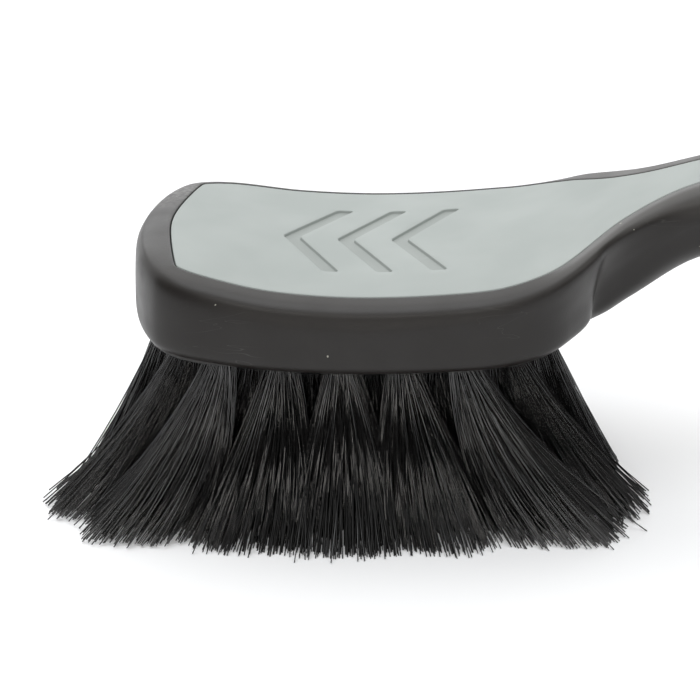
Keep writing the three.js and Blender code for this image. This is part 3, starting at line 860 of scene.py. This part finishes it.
def filamentTree():
    tree = bpy.data.node_groups.new("filamentTuft", "GeometryNodeTree")
    sockets = {}
    for label, kind, value in (
        ("Count", "NodeSocketInt", filamentShape["count"]),
        ("Points", "NodeSocketInt", filamentShape["points"]),
        ("Sides", "NodeSocketInt", filamentShape["sides"]),
        ("Filament Radius", "NodeSocketFloat", filamentShape["radius"] * mm),
        ("Root", "NodeSocketVector", (0, 0, 0.03)),
        ("Lean", "NodeSocketVector", (0, 0, -1)),
        ("Tip", "NodeSocketVector", (0, 0, 0)),
        ("Root Radius", "NodeSocketFloat", filamentShape["rootRadius"] * mm),
        ("Belly Radius", "NodeSocketFloat", filamentShape["belly"] * mm),
        ("Tip Radius", "NodeSocketFloat", filamentShape["tipRadius"] * mm),
        ("Stretch", "NodeSocketVector", filamentShape["stretch"]),
        ("Belly Stretch", "NodeSocketVector", filamentShape["bellyStretch"]),
        ("Wander", "NodeSocketFloat", filamentShape["wander"] * mm),
        ("Tip Scatter", "NodeSocketFloat", filamentShape["tipScatter"] * mm),
        ("Clump", "NodeSocketFloat", filamentShape["clump"]),
        ("Cross", "NodeSocketFloat", filamentShape["cross"]),
        ("Uneven", "NodeSocketFloat", filamentShape["uneven"] * mm),
        ("Seed", "NodeSocketInt", filamentShape["seed"]),
        ("Finish", "NodeSocketMaterial", None),
    ):
        socket = tree.interface.new_socket(name=label, in_out="INPUT", socket_type=kind)
        if value is not None:
            socket.default_value = value
        sockets[label] = socket.identifier
    tree.interface.new_socket(name="Geometry", in_out="OUTPUT", socket_type="NodeSocketGeometry")
    given = addNode(tree, "NodeGroupInput").outputs
    out = addNode(tree, "NodeGroupOutput")

    spots = addNode(tree, "GeometryNodePoints")
    feed(tree, spots.inputs["Count"], given["Count"])
    straight = addNode(tree, "GeometryNodeCurvePrimitiveLine")
    divided = addNode(tree, "GeometryNodeResampleCurve")
    feed(tree, divided.inputs["Curve"], straight.outputs[0])
    feed(tree, divided.inputs["Count"], given["Points"])
    copies = addNode(tree, "GeometryNodeInstanceOnPoints")
    feed(tree, copies.inputs["Points"], spots.outputs[0])
    feed(tree, copies.inputs["Instance"], divided.outputs[0])
    strands = addNode(tree, "GeometryNodeRealizeInstances")
    feed(tree, strands.inputs[0], copies.outputs[0])

    strand = addNode(tree, "GeometryNodeCurveOfPoint").outputs["Curve Index"]
    along = addNode(tree, "GeometryNodeSplineParameter").outputs["Factor"]

    def chance(number, low=0.0, high=1.0, key=strand):
        node = addNode(tree, "FunctionNodeRandomValue", data_type="FLOAT")
        feed(tree, node.inputs[2], low)
        feed(tree, node.inputs[3], high)
        feed(tree, node.inputs["ID"], key)
        feed(tree, node.inputs["Seed"], math1(tree, "ADD", given["Seed"], float(number * 101)))
        return node.outputs[1]

    def onDisc(number, key=strand):
        # an even spread over a disc of radius 1
        turn = chance(number, 0.0, 2 * math.pi, key)
        far = math1(tree, "SQRT", chance(number + 1, 0.0, 1.0, key))
        join = addNode(tree, "ShaderNodeCombineXYZ")
        feed(tree, join.inputs[0], math1(tree, "MULTIPLY", far, math1(tree, "COSINE", turn)))
        feed(tree, join.inputs[1], math1(tree, "MULTIPLY", far, math1(tree, "SINE", turn)))
        return join.outputs[0]

    def onPatch(number):
        # an even spread over a square with its corners rounded away
        sides = [chance(number + k, -1.0, 1.0) for k in (0, 1)]
        join = addNode(tree, "ShaderNodeCombineXYZ")
        for k in (0, 1):
            other = math1(tree, "MULTIPLY", sides[1 - k], sides[1 - k])
            less = math1(tree, "SQRT", math1(tree, "SUBTRACT", 1.0, math1(tree, "MULTIPLY", other, 0.28)))
            feed(tree, join.inputs[k], math1(tree, "MULTIPLY", sides[k], less))
        return join.outputs[0]

    def plus(a, b):
        return vector1(tree, "ADD", a, b)

    def times(a, share):
        return vector1(tree, "SCALE", a, scale=share)

    def blendVectors(a, b, share):
        return plus(a, times(vector1(tree, "SUBTRACT", b, a), share))

    rootDisc = onDisc(1)
    lock = math1(tree, "FLOOR", chance(3, 0.0, 14.0))
    lockDisc = onDisc(4, lock)
    disc = onPatch(16)
    tipDisc = vector1(tree, "MULTIPLY", blendVectors(disc, lockDisc, given["Clump"]), given["Stretch"])
    wide = vector1(tree, "MULTIPLY", disc, given["Belly Stretch"])
    start = plus(given["Root"], times(blendVectors(disc, rootDisc, given["Cross"]), given["Root Radius"]))
    start = plus(start, times(given["Lean"], -0.003))
    reach = vector1(tree, "DISTANCE", given["Root"], given["Tip"])
    halfway = times(given["Lean"], math1(tree, "MULTIPLY", reach, 0.5))
    middle = plus(plus(given["Root"], halfway), times(wide, given["Belly Radius"]))
    loose = math1(tree, "POWER", chance(7), 9.0)
    stray = math1(tree, "ADD", 0.6, math1(tree, "MULTIPLY", loose, 2.4))
    scatter = times(onDisc(8), math1(tree, "MULTIPLY", given["Tip Scatter"], stray))
    end = plus(plus(given["Tip"], times(tipDisc, given["Tip Radius"])), scatter)
    lift = addNode(tree, "ShaderNodeCombineXYZ")
    feed(tree, lift.inputs[2], math1(tree, "MULTIPLY", math1(tree, "POWER", chance(10), 2.0), given["Uneven"]))
    end = plus(end, lift.outputs[0])
    back = math1(tree, "SUBTRACT", 1.0, along)
    path = plus(plus(times(start, math1(tree, "MULTIPLY", back, back)),
                     times(middle, math1(tree, "MULTIPLY", math1(tree, "MULTIPLY", along, back), 2.0))),
                times(end, math1(tree, "MULTIPLY", along, along)))
    # a slow bow, none at the root
    swing = math1(tree, "SINE", math1(tree, "MULTIPLY", math1(tree, "ADD", along, chance(12, 0.0, 0.5)), 4.5))
    side = times(onDisc(13), math1(tree, "MULTIPLY", math1(tree, "MULTIPLY", swing, along), given["Wander"]))
    path = plus(path, side)
    bend = addNode(tree, "GeometryNodeSetPosition")
    feed(tree, bend.inputs["Geometry"], strands.outputs[0])
    feed(tree, bend.inputs["Position"], path)

    section = addNode(tree, "GeometryNodeCurvePrimitiveCircle")
    feed(tree, section.inputs["Resolution"], given["Sides"])
    feed(tree, section.inputs["Radius"], given["Filament Radius"])
    swept = addNode(tree, "GeometryNodeCurveToMesh")
    feed(tree, swept.inputs["Curve"], bend.outputs[0])
    feed(tree, swept.inputs["Profile Curve"], section.outputs[0])
    swept.inputs["Fill Caps"].default_value = True
    shaded = addNode(tree, "GeometryNodeSetShadeSmooth")
    feed(tree, shaded.inputs[0], swept.outputs[0])
    real = addNode(tree, "GeometryNodeRealizeInstances")
    feed(tree, real.inputs[0], shaded.outputs[0])
    finish = addNode(tree, "GeometryNodeSetMaterial")
    feed(tree, finish.inputs["Geometry"], real.outputs[0])
    feed(tree, finish.inputs["Material"], given["Finish"])
    feed(tree, out.inputs[0], finish.outputs[0])
    return tree, sockets


tuftTree, tuftSockets = filamentTree()


def growTuft(name, values):
    carrier = bpy.data.objects.new(name, bpy.data.meshes.new(name))
    scene.collection.objects.link(carrier)
    modifier = carrier.modifiers.new("filaments", "NODES")
    modifier.node_group = tuftTree
    for label, value in values.items():
        modifier[tuftSockets[label]] = value
    bpy.context.view_layer.update()
    grown = carrier.evaluated_get(bpy.context.evaluated_depsgraph_get())
    carrier.data = bpy.data.meshes.new_from_object(grown)
    carrier.modifiers.clear()
    return carrier


shift = Vector((headMiddle, 0, 0))
for number, (name, face, tip, lean, along, across) in enumerate(tuftPlaces()):
    tuft = growTuft(f"filaments_{name}", {
        "Root": tuple((face + shift) * mm),
        "Lean": tuple(lean),
        "Tip": tuple((tip + shift) * mm),
        "Seed": filamentShape["seed"] + number * 13,
        "Finish": filamentMaterial,
    })
    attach(tuft, "root")
    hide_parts(f"tuft_{name}")
report(f"28 tufts, {len(tuft.data.polygons)} faces each")


# what stays from the frame gets its finish
for name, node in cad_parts.items():
    if name == "core" or name.startswith("anchor_"):
        node.data.materials.clear()
        node.data.materials.append(coreMaterial if name == "core" else anchorMaterial)


# floor, light and camera
studio = {
    "floor": 0.9,
    "glow": 0.19,
    "behind": 0.75,  # how bright the surroundings are behind, ahead of and above the brush
    "ahead": 0.04,
    "above": 0.6,
    "key": 4.8,      # power of each light
    "top": 6.0,
    "back": 3.6,
    "front": 2.7,
    "low": 1.9,
}


def makeFloor():
    mesh = bpy.data.meshes.new("floor")
    mesh.from_pydata([(-6, -6, 0), (6, -6, 0), (6, 6, 0), (-6, 6, 0)], [], [(0, 1, 2, 3)])
    floor = bpy.data.objects.new("floor", mesh)
    scene.collection.objects.link(floor)
    material, shader = startMaterial("paleFloor")[::2]
    tone = studio["floor"]
    shader.inputs["Base Color"].default_value = (tone, tone, tone, 1)
    shader.inputs["Roughness"].default_value = 0.6
    shader.inputs["Specular IOR Level"].default_value = 0.2
    shader.inputs["Emission Color"].default_value = (1, 1, 1, 1)
    shader.inputs["Emission Strength"].default_value = studio["glow"]
    mesh.materials.append(material)


def addLight(name, at, aim, size, power, color=(1, 1, 1)):
    lamp = bpy.data.lights.new(name, "AREA")
    lamp.shape, lamp.size, lamp.size_y, lamp.energy, lamp.color = "RECTANGLE", size[0], size[1], power, color
    holder = bpy.data.objects.new(name, lamp)
    holder.location = at
    holder.rotation_euler = (Vector(aim) - Vector(at)).to_track_quat("-Z", "Y").to_euler()
    scene.collection.objects.link(holder)


makeFloor()


def makeWorld():
    # white behind and a little above, dark ahead, so that walls and filaments mirror both
    world = bpy.data.worlds.new("studio")
    world.use_nodes = True
    tree = world.node_tree
    way = addNode(tree, "ShaderNodeSeparateXYZ")
    feed(tree, way.inputs[0], addNode(tree, "ShaderNodeTexCoord").outputs["Generated"])
    back = tree.nodes["Background"]
    back.inputs[0].default_value = (0.985, 0.99, 1.0, 1)
    behind = mapValue(tree, way.outputs[1], -0.15, 0.45, studio["ahead"], studio["behind"], smooth=True)
    above = mapValue(tree, way.outputs[2], 0.5, 0.9, 0.0, studio["above"], smooth=True)
    side = mapValue(tree, way.outputs[0], 0.25, 0.85, 1.0, 0.3, smooth=True)
    feed(tree, back.inputs[1], math1(tree, "ADD", math1(tree, "MULTIPLY", behind, side), above))
    scene.world = world


makeWorld()
addLight("keySoft", (-0.3, 0.75, 1.5), (-0.03, 0, 0.03), (1.5, 1.0), studio["key"], (1.0, 0.997, 0.985))
addLight("topSoft", (0, -0.27, 1.17), (0, 0, 0.03), (1.3, 0.75), studio["top"], (0.95, 0.975, 1.0))
addLight("backSoft", (-0.25, 1.3, 0.55), (0.05, 0.1, 0), (1.6, 0.5), studio["back"], (0.97, 0.985, 1.0))
addLight("frontSoft", (-0.2, -1.4, 0.98), (-0.05, 0, 0.03), (0.8, 0.12), studio["front"], (1.0, 0.97, 0.93))
addLight("lowSoft", (-0.1, -1.6, 0.28), (-0.05, 0, 0.03), (0.95, 0.08), studio["low"], (1.0, 0.97, 0.92))

view = {
    "azimuth": 6.5,
    "elevation": 23.3,
    "roll": -2.6,
    "distance": 1.1,
    "lens": 264.8,
    "aside": -2.7,   # mm from the middle of the head
    "across": -0.0060,
    "high": 0.0305,
}


def aimCamera():
    azimuth, elevation, roll = (math.radians(view[k]) for k in ("azimuth", "elevation", "roll"))
    level = math.cos(elevation)
    away = Vector((math.sin(azimuth) * level, -math.cos(azimuth) * level, math.sin(elevation)))
    target = Vector(((headMiddle + view["aside"]) * mm, view["across"], view["high"]))
    data = bpy.data.cameras.new("camera")
    data.lens, data.sensor_width, data.clip_start, data.clip_end = view["lens"], 36.0, 0.05, 50.0
    camera = bpy.data.objects.new("camera", data)
    scene.collection.objects.link(camera)
    turn = (-away).to_track_quat("-Z", "Y").to_matrix().to_4x4() @ Matrix.Rotation(roll, 4, "Z")
    camera.matrix_world = Matrix.Translation(target + away * view["distance"]) @ turn
    scene.camera = camera


aimCamera()
scene.view_settings.view_transform = "Standard"
report("studio")
